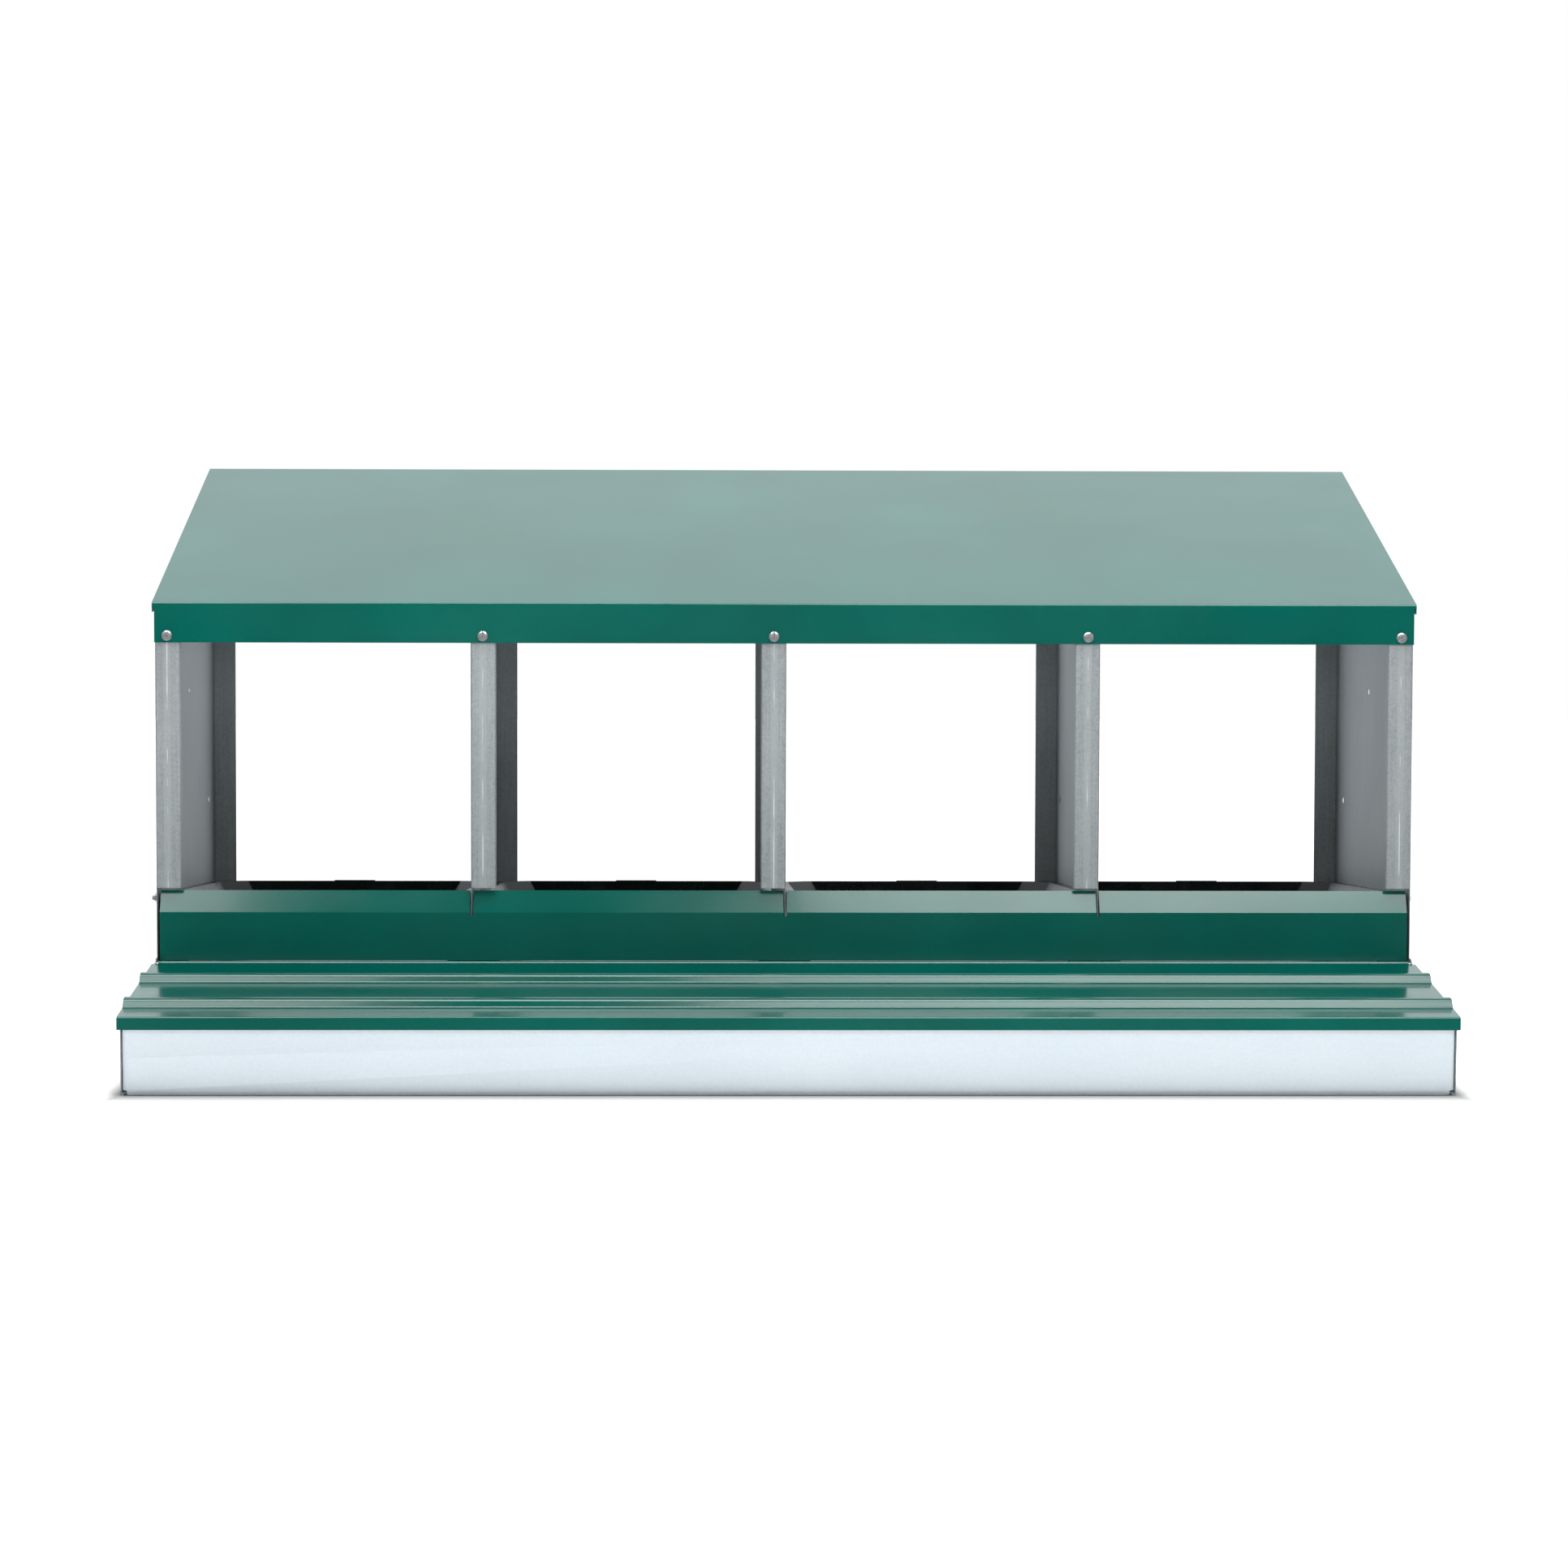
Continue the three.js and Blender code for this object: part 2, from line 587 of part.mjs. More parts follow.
/** Ribbed lid: rear curl round the hinge rod, raised ribs, turned-down front edge. */
function lid() {
  const half = LID_WIDTH / 2;
  const curlRadius = ROD_RADIUS + ROD_CLEARANCE + SHEET / 2;
  const frontY = -LID_REACH + SHEET / 2;
  const flat = [];
  for (const rib of LID_RIBS) {
    const rear = rib - RIB_CROWN / 2;
    const front = rib + RIB_CROWN / 2;
    flat.push(
      [-(rear - RIB_REAR_RUN), lidZ(rear - RIB_REAR_RUN)],
      [-rear, lidZ(rear) + RIB_HEIGHT],
      [-front, lidZ(front) + RIB_HEIGHT],
      [-(front + RIB_FRONT_RUN), lidZ(front + RIB_FRONT_RUN)],
    );
  }
  const start = -ROD_Y + curlRadius;
  const plate = foldedSheet([
    [-start, lidZ(start)],
    ...flat,
    [frontY, lidZ(LID_REACH)],
    [frontY, LID_FLANGE_BOTTOM],
  ], {
    radius: RIB_FOOT_BEND,
    radii: { 2: RIB_CROWN_BEND, 3: RIB_CROWN_BEND, 6: RIB_CROWN_BEND, 7: RIB_CROWN_BEND, 9: BEND },
    steps: 5,
  });
  // The sheet goes over the rod, down behind it and back under, and stops short of itself.
  const curl = foldedSheet(
    arc([ROD_Y, ROD_Z], curlRadius, 150, -140, 14),
    { radius: 0.01, steps: 1 },
  );
  const [curlY, curlZ] = arc([ROD_Y, ROD_Z], curlRadius, 150, 150, 1)[0];
  const joint = foldedSheet([
    [curlY + SHEET / 2, curlZ],
    [-start - 3, lidZ(start + 3)],
  ]);
  const notchX = INNER_X - LID_NOTCH.inside;
  const notchY = ROD_Y - EAR_RADIUS - LID_NOTCH.ahead;
  const notches = [-1, 1].map((side) => {
    const edges = [side * notchX, side * (half + 1)].sort((a, b) => a - b);
    return block([edges[0], notchY, LID_NOTCH.from], [edges[1], 2, LID_NOTCH.to]);
  });
  const body = union(
    prism(plate, 'x', -half, half),
    prism(curl, 'x', -notchX, notchX),
    prism(joint, 'x', -notchX, notchX),
  );
  return without(body, ...notches);
}

addMesh('egg_tray_lid', lid(), greenPaint);

/** Long steel rod, its ends peened over outside the end panels. */
function hingeRod() {
  const outside = WIDTH / 2 + GAP;
  const [peenRadius, peen] = ROD_PEEN;
  const shaft = bar(ROD_RADIUS, 'x', [ROD_Y, ROD_Z], -outside - peen, outside + peen);
  const heads = [-1, 1].map((side) => bar(
    peenRadius,
    'x',
    [ROD_Y, ROD_Z],
    side * outside,
    side * (outside + peen),
  ));
  return union(shaft, ...heads);
}

addMesh('hinge_rod', hingeRod(), zincPlate);

// ---------------------------------------------------------------- nest inserts

/** Six-sided ring, open at the front, with chamfered rear corners; zOf gives each height. */
function insertRing(inset, front, zOf) {
  const half = INSERT_HALF - inset;
  const rear = INSERT_REAR - inset;
  return [
    [-half, front],
    [-half, rear - INSERT_CORNER],
    [-half + INSERT_CORNER, rear],
    [half - INSERT_CORNER, rear],
    [half, rear - INSERT_CORNER],
    [half, front],
  ].map(([x, y]) => new THREE.Vector3(x, y, zOf(y)));
}

function hull(...rings) {
  return solidOf(new ConvexGeometry(rings.flat()));
}

/** Moulded tub: flat rim on three sides, bevelled walls, floor sloping to the open front. */
function nestInsert() {
  const bed = SHEET / 2 + SHEET + GAP + GAP; // underside of the tub above the middle of the tray
  const under = (y) => floorZ(y) + bed;
  const shoulder = (y) => rimZ(y) - INSERT_BEVEL_DROP;
  const toe = INSERT_RIM + INSERT_BEVEL_RUN;
  const foot = toe + INSERT_DRAFT;
  const slip = -2;
  const outer = union(
    hull(
      insertRing(0, INSERT_FRONT, rimZ),
      insertRing(0, INSERT_FRONT, (y) => rimZ(y) - INSERT_WALL),
    ),
    hull(
      insertRing(INSERT_RIM - INSERT_WALL, INSERT_FRONT, (y) => rimZ(y) - 0.5),
      insertRing(toe - INSERT_WALL, INSERT_FRONT, shoulder),
    ),
    hull(
      insertRing(toe - INSERT_WALL, INSERT_FRONT, shoulder),
      insertRing(foot - INSERT_WALL, INSERT_FRONT, under),
    ),
  );
  const inner = union(
    hull(
      insertRing(INSERT_RIM, INSERT_FRONT + slip, (y) => rimZ(y) + 1),
      insertRing(toe, INSERT_FRONT + slip, (y) => shoulder(y)),
    ),
    hull(
      insertRing(toe, INSERT_FRONT + slip, (y) => shoulder(y) + 0.01),
      insertRing(foot, INSERT_FRONT + slip, (y) => under(y) + INSERT_WALL),
    ),
  );
  const [tabWidth, tabHeight] = INSERT_LIFT_TAB;
  const rimBack = INSERT_REAR - 1;
  const tab = block(
    [-tabWidth / 2, rimBack - INSERT_RIM + 2, INSERT_RIM_REAR_Z - 1],
    [tabWidth / 2, rimBack, INSERT_RIM_REAR_Z + tabHeight],
  );
  return union(without(outer, inner), tab);
}

for (let i = 0; i < NESTS; i += 1) {
  const x = (i - (NESTS - 1) / 2) * PITCH;
  addMesh(`nest_insert_${i + 1}`, nestInsert(), blackPlastic, [x, 0, 0]);
}

// ---------------------------------------------------------------- fasteners

/** Slotted pan-head screw: head above Z = 0, shank below it. */
function panScrew(length = SCREW_LENGTH) {
  const [radius, height] = SCREW_HEAD;
  const profile = [
    [0, -length],
    [SCREW_RADIUS, -length],
    [SCREW_RADIUS, 0],
    [radius, 0],
    [radius, height * 0.45],
    [radius * 0.8, height],
    [0, height],
  ].map(([r, z]) => new THREE.Vector2(r, z));
  const turned = new THREE.LatheGeometry(profile, ROUND).rotateX(Math.PI / 2);
  const [slotWidth, slotDepth] = SCREW_SLOT;
  const slot = block(
    [-slotWidth / 2, -radius - 1, height - slotDepth],
    [slotWidth / 2, radius + 1, height + 1],
  );
  return without(solidOf(turned), slot);
}

/** Hexagon nut standing on Z = 0, bored clear of the screw. */
function hexNut() {
  const corner = NUT_ACROSS_FLATS / 2 / Math.cos(Math.PI / 6);
  const body = bar(corner, 'z', [0, 0], 0, NUT_HEIGHT, 6);
  const bore = bar(SCREW_RADIUS + HOLE_CLEARANCE, 'z', [0, 0], -1, NUT_HEIGHT + 1, 12);
  return without(body, bore);
}

/** Blind rivet: low domed head above Z = 0, set tail below. */
function rivet(grip) {
  const [radius, height] = RIVET_HEAD;
  const [tail, tailLength] = RIVET_TAIL;
  const profile = [
    [0, -grip - tailLength],
    [tail, -grip - tailLength],
    [tail, -grip],
    [RIVET_RADIUS, -grip],
    [RIVET_RADIUS, 0],
    [radius, 0],
    [radius * 0.6, height],
    [0, height],
  ].map(([r, z]) => new THREE.Vector2(r, z));
  return solidOf(new THREE.LatheGeometry(profile, ROUND).rotateX(Math.PI / 2));
}

const FACING = {
  front: (roll) => [Math.PI / 2, 0, roll], // local +Z to -Y
  back: (roll) => [-Math.PI / 2, 0, roll], // local +Z to +Y
};

const SLOT_ROLLS = [0.5, -0.35, 1.1, -0.9, 0.2]; // no two screws stop at the same angle

PANELS.forEach(({ index, side }, i) => {
  const x = index * PITCH + side * FLANGE_SCREW_X;
  const rearZ = ROOF_REAR_Z - ROOF_REAR_FLANGE / 2;
  const number = i + 1;
  const skin = GAP + SHEET + GAP; // a head stands off the outer sheet by the same gap
  const screws = [
    [`roof_front_screw_${number}`, [x, -skin, ROOF_SCREW_Z], 'front'],
    [`roof_rear_screw_${number}`, [x, DEPTH + skin, rearZ], 'back'],
    [`pan_screw_${number}`, [x, DEPTH + GAP, PAN_SCREW_Z], 'back'],
  ];
  for (const [name, place, facing] of screws) {
    const mesh = addMesh(name, panScrew(), zincPlate, place, FACING[facing](0));
    mesh.rotateZ(SLOT_ROLLS[i]);
  }
  const nuts = [
    [`roof_front_nut_${number}`, [x, SHEET + GAP, ROOF_SCREW_Z], 'back'],
    [`roof_rear_nut_${number}`, [x, DEPTH - SHEET - GAP, rearZ], 'front'],
    [`pan_nut_${number}`, [x, DEPTH - SHEET - GAP - SHEET - GAP, PAN_SCREW_Z], 'front'],
  ];
  for (const [name, place, facing] of nuts) {
    addMesh(name, hexNut(), zincPlate, place, FACING[facing](0));
  }
});

/** Kick board bolts: on the right the head is outside, on the left the nut is. */
const KICK_BOLTS = [
  { side: 'left', out: -1, headOutside: false },
  { side: 'right', out: 1, headOutside: true },
];
for (const { side, out, headOutside } of KICK_BOLTS) {
  const outerFace = out * (WIDTH / 2 + GAP);
  const innerFace = out * (KICK_HALF - SHEET - GAP);
  const towards = (direction) => [0, (direction * Math.PI) / 2, 0]; // local +Z to +X or -X
  const place = (x) => [x, KICK_BOLT_Y, KICK_BOLT_Z];
  const headX = headOutside ? outerFace : innerFace;
  const nutX = headOutside ? innerFace : outerFace;
  const headTurn = towards(headOutside ? out : -out);
  const nutTurn = towards(headOutside ? -out : out);
  addMesh(`kick_bolt_${side}`, panScrew(KICK_BOLT_LENGTH), zincPlate, place(headX), headTurn);
  addMesh(`kick_nut_${side}`, hexNut(), zincPlate, place(nutX), nutTurn);
}

for (const [side, out] of [['left', -1], ['right', 1]]) {
  const turn = [0, (out * Math.PI) / 2, 0];
  const x = out * (WIDTH / 2 + GAP);
  const trayPlace = [x, TRAY_RIVET_INSET - TRAY_REACH, TRAY_RIVET_Z];
  addMesh(`tray_rivet_${side}`, rivet(RIVET_GRIP), zincPlate, trayPlace, turn);
  addMesh(`pan_rivet_${side}`, rivet(RIVET_GRIP), zincPlate, [x, PAN_RIVET_Y, panRivetZ()], turn);
}

// Origin at the middle of the footprint, on the floor.
const footprint = new THREE.Box3().setFromObject(nestBox).getCenter(new THREE.Vector3());
for (const mesh of nestBox.children) {
  mesh.position.x -= footprint.x;
  mesh.position.y -= footprint.y;
}

export default nestBox;
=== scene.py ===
"""Looks of the roll-away nest box: materials, fine-shape pieces, studio light and camera.

Everything is in metres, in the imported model's frame: +X right, +Y back, +Z up, origin on the floor at
the middle of the footprint.
"""
import json
import math
import random

import bmesh
import bpy
from mathutils import Matrix, Vector


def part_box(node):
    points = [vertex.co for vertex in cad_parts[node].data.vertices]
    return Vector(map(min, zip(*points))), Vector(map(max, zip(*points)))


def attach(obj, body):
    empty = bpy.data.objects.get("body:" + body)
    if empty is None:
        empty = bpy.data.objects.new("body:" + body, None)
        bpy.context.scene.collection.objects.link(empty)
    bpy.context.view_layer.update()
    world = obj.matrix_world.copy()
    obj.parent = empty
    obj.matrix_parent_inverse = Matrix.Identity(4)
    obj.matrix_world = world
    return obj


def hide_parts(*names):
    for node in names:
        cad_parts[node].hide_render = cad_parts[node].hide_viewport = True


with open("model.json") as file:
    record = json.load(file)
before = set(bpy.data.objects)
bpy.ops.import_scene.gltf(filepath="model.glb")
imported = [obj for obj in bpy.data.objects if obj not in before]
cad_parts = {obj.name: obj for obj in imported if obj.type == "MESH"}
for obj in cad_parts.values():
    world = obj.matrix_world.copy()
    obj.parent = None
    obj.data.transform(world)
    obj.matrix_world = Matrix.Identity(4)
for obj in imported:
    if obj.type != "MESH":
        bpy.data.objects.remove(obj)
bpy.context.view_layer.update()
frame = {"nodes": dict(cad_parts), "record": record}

MM = 0.001
NODES = frame["nodes"]
SLOT_OF = {part["node"]: part["material_slot"] for part in frame["record"]["subparts"]}
SEED = 11

# Places that the rest is measured from.
FRONT_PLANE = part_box("divider_2")[0].y  # front face of the front flanges
MIDDLE_X = (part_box("left_end_panel")[0].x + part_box("right_end_panel")[1].x) / 2


# ------------------------------------------------------------------ node-tree helper

class Shader:
    """A material's node tree, with short calls for the nodes that the finishes here use."""

    def __init__(self, name):
        self.material = bpy.data.materials.new(name)
        self.material.use_nodes = True
        self.tree = self.material.node_tree
        self.bsdf = self.tree.nodes["Principled BSDF"]
        self.coords = self.tree.nodes.new("ShaderNodeTexCoord").outputs["Object"]

    def link(self, source, socket):
        self.tree.links.new(source, socket)

    def set(self, **values):
        for key, value in values.items():
            self.bsdf.inputs[key.replace("_", " ")].default_value = value

    def feed(self, source, socket_name):
        self.link(source, self.bsdf.inputs[socket_name])

    def stretched(self, x, y, z):
        """Object coordinates scaled per axis, for streaks and cells of a real size."""
        node = self.tree.nodes.new("ShaderNodeMapping")
        node.inputs["Scale"].default_value = (x, y, z)
        self.link(self.coords, node.inputs["Vector"])
        return node.outputs["Vector"]

    def noise(self, scale, detail=3.0, roughness=0.5, vector=None):
        node = self.tree.nodes.new("ShaderNodeTexNoise")
        node.inputs["Scale"].default_value = scale
        node.inputs["Detail"].default_value = detail
        node.inputs["Roughness"].default_value = roughness
        self.link(vector or self.coords, node.inputs["Vector"])
        return node.outputs["Fac"]

    def cells(self, scale):
        """A random grey for each cell."""
        node = self.tree.nodes.new("ShaderNodeTexVoronoi")
        node.inputs["Scale"].default_value = scale
        self.link(self.coords, node.inputs["Vector"])
        channels = self.tree.nodes.new("ShaderNodeSeparateColor")
        self.link(node.outputs["Color"], channels.inputs["Color"])
        return channels.outputs["Red"]

    def axes(self):
        """Sockets X, Y and Z of the object coordinates."""
        node = self.tree.nodes.new("ShaderNodeSeparateXYZ")
        self.link(self.coords, node.inputs["Vector"])
        return node.outputs

    def span(self, source, low, high, from_low=0.0, from_high=1.0):
        node = self.tree.nodes.new("ShaderNodeMapRange")
        node.inputs["From Min"].default_value = from_low
        node.inputs["From Max"].default_value = from_high
        node.inputs["To Min"].default_value = low
        node.inputs["To Max"].default_value = high
        self.link(source, node.inputs["Value"])
        return node.outputs["Result"]

    def add(self, first, second):
        return self.math("ADD", first, second)

    def multiply(self, first, second):
        return self.math("MULTIPLY", first, second)

    def math(self, operation, first, second):
        node = self.tree.nodes.new("ShaderNodeMath")
        node.operation = operation
        for value, socket in ((first, node.inputs[0]), (second, node.inputs[1])):
            if isinstance(value, (int, float)):
                socket.default_value = value
            else:
                self.link(value, socket)
        return node.outputs["Value"]

    def mix(self, factor, first, second):
        node = self.tree.nodes.new("ShaderNodeMix")
        node.data_type = "RGBA"
        self.link(factor, node.inputs["Factor"])
        for value, key in ((first, "A"), (second, "B")):
            socket = [s for s in node.inputs if s.name == key and s.type == "RGBA"][0]
            if isinstance(value, tuple):
                socket.default_value = value
            else:
                self.link(value, socket)
        return [s for s in node.outputs if s.type == "RGBA"][0]

    def ramp(self, source, stops):
        node = self.tree.nodes.new("ShaderNodeValToRGB")
        elements = node.color_ramp.elements
        while len(elements) < len(stops):
            elements.new(0.5)
        for element, (place, colour) in zip(elements, stops):
            element.position = place
            element.color = colour
        self.link(source, node.inputs["Fac"])
        return node.outputs["Color"]

    def bump(self, height, strength, distance):
        node = self.tree.nodes.new("ShaderNodeBump")
        node.inputs["Strength"].default_value = strength
        node.inputs["Distance"].default_value = distance
        self.link(height, node.inputs["Height"])
        self.feed(node.outputs["Normal"], "Normal")


def rgb(hex_code):
    """Linear colour of an sRGB hex code."""
    channels = [int(hex_code[i:i + 2], 16) / 255 for i in (0, 2, 4)]
    linear = [c / 12.92 if c <= 0.04045 else ((c + 0.055) / 1.055) ** 2.4 for c in channels]
    return (*linear, 1.0)


# ------------------------------------------------------------------ finishes

def green_powder_coat():
    """Glossy dark green powder coat: orange peel, faint cloudiness, dust in the finest scratches."""
    shader = Shader("green_powder_coat")
    clouds = shader.noise(6, 3)
    grains = shader.noise(900, 2)
    tone = shader.add(shader.multiply(clouds, 0.8), shader.multiply(grains, 0.2))
    shader.feed(shader.ramp(tone, [
        (0.3, rgb("00453c")),
        (0.55, rgb("004c43")),
        (0.75, rgb("005349")),
    ]), "Base Color")
    smears = shader.noise(14, 4, vector=shader.stretched(0.4, 1, 1))
    shader.feed(shader.span(smears, 0.14, 0.22, 0.3, 0.7), "Roughness")
    shader.set(IOR=1.5, Coat_Weight=0.15, Coat_Roughness=0.06)
    peel = shader.add(shader.noise(420, 2), shader.multiply(shader.noise(60, 1), 0.8))
    shader.bump(peel, 0.06, 0.0004)
    return shader.material


def galvanised(name, tones, streak, rough, metallic, rolled_line=None):
    """Hot-dip galvanised sheet: fine spangle, rolled streaks and bloom, and a bright line that the
    folding die left along a flange where rolled_line gives its X."""
    shader = Shader(name)
    spangle = shader.cells(560)
    grain = shader.noise(1100, 3, 0.7)
    lines = shader.noise(1.0, 4, 0.6, vector=shader.stretched(*streak))
    bloom = shader.noise(7, 2)
    tone = shader.add(
        shader.add(shader.multiply(spangle, 0.13), shader.multiply(grain, 0.35)),
        shader.add(shader.multiply(lines, 0.28), shader.multiply(bloom, 0.24)),
    )
    dark, mid, light = tones
    colour = shader.ramp(tone, [(0.3, rgb(dark)), (0.5, rgb(mid)), (0.7, rgb(light))])
    if rolled_line is not None:
        axes = shader.axes()
        off = shader.math("ABSOLUTE", shader.math("SUBTRACT", axes["X"], rolled_line), 0.0)
        line = shader.span(off, 1.0, 0.0, 0.2 * MM, 0.7 * MM)
        rubbed = shader.span(off, 0.45, 0.0, 2.4 * MM, 4.2 * MM)
        front = shader.span(axes["Y"], 1.0, 0.0, FRONT_PLANE + MM, FRONT_PLANE + 2 * MM)
        dashes = shader.span(
            shader.noise(1.0, 2, vector=shader.stretched(8, 8, 26)), 0.0, 0.8, 0.45, 0.6
        )
        colour = shader.mix(shader.multiply(rubbed, front), colour, rgb(light))
        mask = shader.multiply(shader.multiply(line, front), dashes)
        colour = shader.mix(mask, colour, rgb("eef2f3"))
    shader.feed(colour, "Base Color")
    shader.feed(shader.span(shader.add(spangle, grain), rough[0], rough[1], 0.4, 1.5), "Roughness")
    shader.set(Metallic=metallic)
    shader.bump(shader.add(shader.multiply(grain, 0.5), lines), 0.1, 0.0002)
    return shader.material


def black_plastic():
    """Moulded glossy polypropylene, near black, with a fine matt grain and scuffs."""
    shader = Shader("black_plastic")
    grain = shader.noise(1600, 2)
    scuffs = shader.noise(1.0, 4, 0.6, vector=shader.stretched(30, 9, 30))
    shader.feed(shader.ramp(shader.noise(12, 3), [
        (0.35, rgb("0d0d0e")),
        (0.7, rgb("161617")),
    ]), "Base Color")
    shader.feed(shader.span(scuffs, 0.2, 0.34, 0.35, 0.7), "Roughness")
    shader.set(IOR=1.49)
    shader.bump(grain, 0.08, 0.0002)
    return shader.material


def zinc_plate():
    """Bright zinc plate on turned steel, with faint yellowing and handling marks."""
    shader = Shader("zinc_plate")
    marks = shader.noise(700, 4)
    shader.feed(shader.ramp(marks, [
        (0.3, rgb("bcbfc0")),
        (0.55, rgb("dcdee0")),
        (0.75, rgb("eeeeec")),
    ]), "Base Color")
    shader.feed(shader.span(marks, 0.24, 0.4, 0.3, 0.7), "Roughness")
    shader.set(Metallic=0.85)
    shader.bump(marks, 0.1, 0.0001)
    return shader.material


PANEL_TONES = ("8b9295", "a4aaad", "b8bec0")
PANEL_STREAK = (700, 700, 14)
PANEL_ROUGH, PANEL_METAL = (0.42, 0.56), 0.6
FINISH = {
    "green_paint": green_powder_coat(),
    "galvanised_steel": galvanised(
        "galvanised_steel", PANEL_TONES, PANEL_STREAK, PANEL_ROUGH, PANEL_METAL
    ),
    "black_plastic": black_plastic(),
    "zinc_plate": zinc_plate(),
}
NODE_FINISH = {
    "egg_tray": galvanised(
        "galvanised_tray", ("c1cbd2", "c8d2d9", "cfd8de"), (40, 900, 1700), (0.38, 0.48), 0.3
    ),
}
FLANGE_MIDDLE = 11.5 * MM  # from a panel's web to the middle of its front flange
for panel in ("left_end_panel", "divider_1", "divider_2", "divider_3", "right_end_panel"):
    low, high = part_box(panel)
    towards = 1 if panel in ("left_end_panel", "divider_1") else -1
    web = low.x if towards > 0 else high.x
    NODE_FINISH[panel] = galvanised(
        "galvanised_" + panel, PANEL_TONES, PANEL_STREAK, PANEL_ROUGH, PANEL_METAL,
        web + towards * FLANGE_MIDDLE,
    )


# ------------------------------------------------------------------ CAD nodes that stay

EDGE_BREAK = 0.22 * MM  # softened cut edges of the sheet


def dress(node, finish):
    """Gives a CAD node its finish, smooth bends and slightly broken edges."""
    mesh = node.data
    mesh.materials.clear()
    mesh.materials.append(finish)
    if "custom_normal" in mesh.attributes:
        mesh.attributes.remove(mesh.attributes["custom_normal"])
    mesh.polygons.foreach_set("use_smooth", [True] * len(mesh.polygons))
    weld = node.modifiers.new("weld", "WELD")
    weld.merge_threshold = 0.01 * MM
    bevel = node.modifiers.new("edges", "BEVEL")
    bevel.width = EDGE_BREAK
    bevel.segments = 2
    bevel.limit_method = "ANGLE"
    bevel.angle_limit = math.radians(35)
    shading = node.modifiers.new("flats", "WEIGHTED_NORMAL")
    shading.mode = "FACE_AREA_WITH_ANGLE"
    shading.weight = 90


for name, node in NODES.items():
    dress(node, NODE_FINISH.get(name, FINISH[SLOT_OF[name]]))


# ------------------------------------------------------------------ pieces in mesh code

def add_fastener(node, mesh, matrix):
    """Puts a detailed fastener on the frame in place of a CAD node."""
    piece = bpy.data.objects.new("fine_" + node, mesh)
    bpy.context.scene.collection.objects.link(piece)
    piece.matrix_world = matrix
    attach(piece, "frame")
    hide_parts(node)


SMOOTH_BELOW = math.radians(40)


def mesh_of(name, vertices, faces):
    """Zinc-plated mesh from vertices in millimetres, smooth where faces meet at a small angle."""
    mesh = bpy.data.meshes.new(name)
    mesh.from_pydata([Vector(v) * MM for v in vertices], [], faces)
    shape = bmesh.new()
    shape.from_mesh(mesh)
    bmesh.ops.remove_doubles(shape, verts=shape.verts, dist=0.0005 * MM)
    bmesh.ops.recalc_face_normals(shape, faces=shape.faces)
    for face in shape.faces:
        face.smooth = True
    for edge in shape.edges:
        if len(edge.link_faces) == 2 and edge.calc_face_angle(0) > SMOOTH_BELOW:
            edge.smooth = False
    shape.to_mesh(mesh)
    shape.free()
    mesh.materials.append(FINISH["zinc_plate"])
    return mesh


def turned(name, profile, segments=40, shape=None):
    """Solid turned about Z from (radius, z) pairs; shape(angle, radius, z) may alter each point."""
    vertices, faces = [], []
    for radius, z in profile:
        for i in range(segments):
            angle = 2 * math.pi * i / segments
            r, height = shape(angle, radius, z) if shape else (radius, z)
            vertices.append((r * math.cos(angle), r * math.sin(angle), height))
    for ring in range(len(profile) - 1):
        for i in range(segments):
            j = (i + 1) % segments
            a, b = ring * segments, (ring + 1) * segments
            faces.append((a + i, a + j, b + j, b + i))
    return mesh_of(name, vertices, faces)


THREAD_PITCH = 0.8  # M5 coarse
THREAD_DEPTH = 0.42
HEAD_RADIUS, HEAD_HEIGHT = 5.0, 3.0
SHANK = 2.48
SLOT_WIDTH, SLOT_DEPTH = 1.3, 1.1
SCREW_TIP = 1.7
HEAD_EDGE = 1.2  # height of the head's upright edge
HEAD_FLAT = 2.6  # radius where the crown's curve ends
NUT_HEIGHT = 4.0
NUT_FLAT = 4.0  # half across the flats
BORE_RINGS = 24
RIVET_GRIP = 2.9
RIVET_HEAD_HEIGHT = 1.2
SCREW_LENGTH, KICK_BOLT_LENGTH = 10, 11.5


def thread(angle, radius, z):
    """Pulls the shank in along a helix."""
    if abs(radius - SHANK) > 0.001:
        return radius, z
    turn = (z / THREAD_PITCH - angle / (2 * math.pi)) % 1
    return radius - THREAD_DEPTH * abs(2 * turn - 1), z


def screw_mesh(name, length):
    """M5 pan-head screw: crowned head standing on Z = 0, rolled thread below."""
    profile = [(0, -length), (SCREW_TIP, -length)]
    steps = int(length / (THREAD_PITCH / 6))
    profile += [(SHANK, -length + 0.3 + i * (length - 0.8) / steps) for i in range(steps + 1)]
    profile += [(SHANK - 0.15, -0.3), (SHANK + 0.02, 0)]
    profile += [(HEAD_RADIUS - 0.25, 0), (HEAD_RADIUS - 0.05, 0.12), (HEAD_RADIUS, 0.35)]
    crown = 9
    for i in range(crown + 1):
        angle = math.pi / 2 * i / crown
        profile.append((
            HEAD_FLAT + (HEAD_RADIUS - HEAD_FLAT) * math.cos(angle) ** 0.85,
            HEAD_EDGE + (HEAD_HEIGHT - 0.15 - HEAD_EDGE) * math.sin(angle),
        ))
    profile += [(1.3, HEAD_HEIGHT - 0.04), (0, HEAD_HEIGHT)]
    return turned(name, profile, shape=thread)


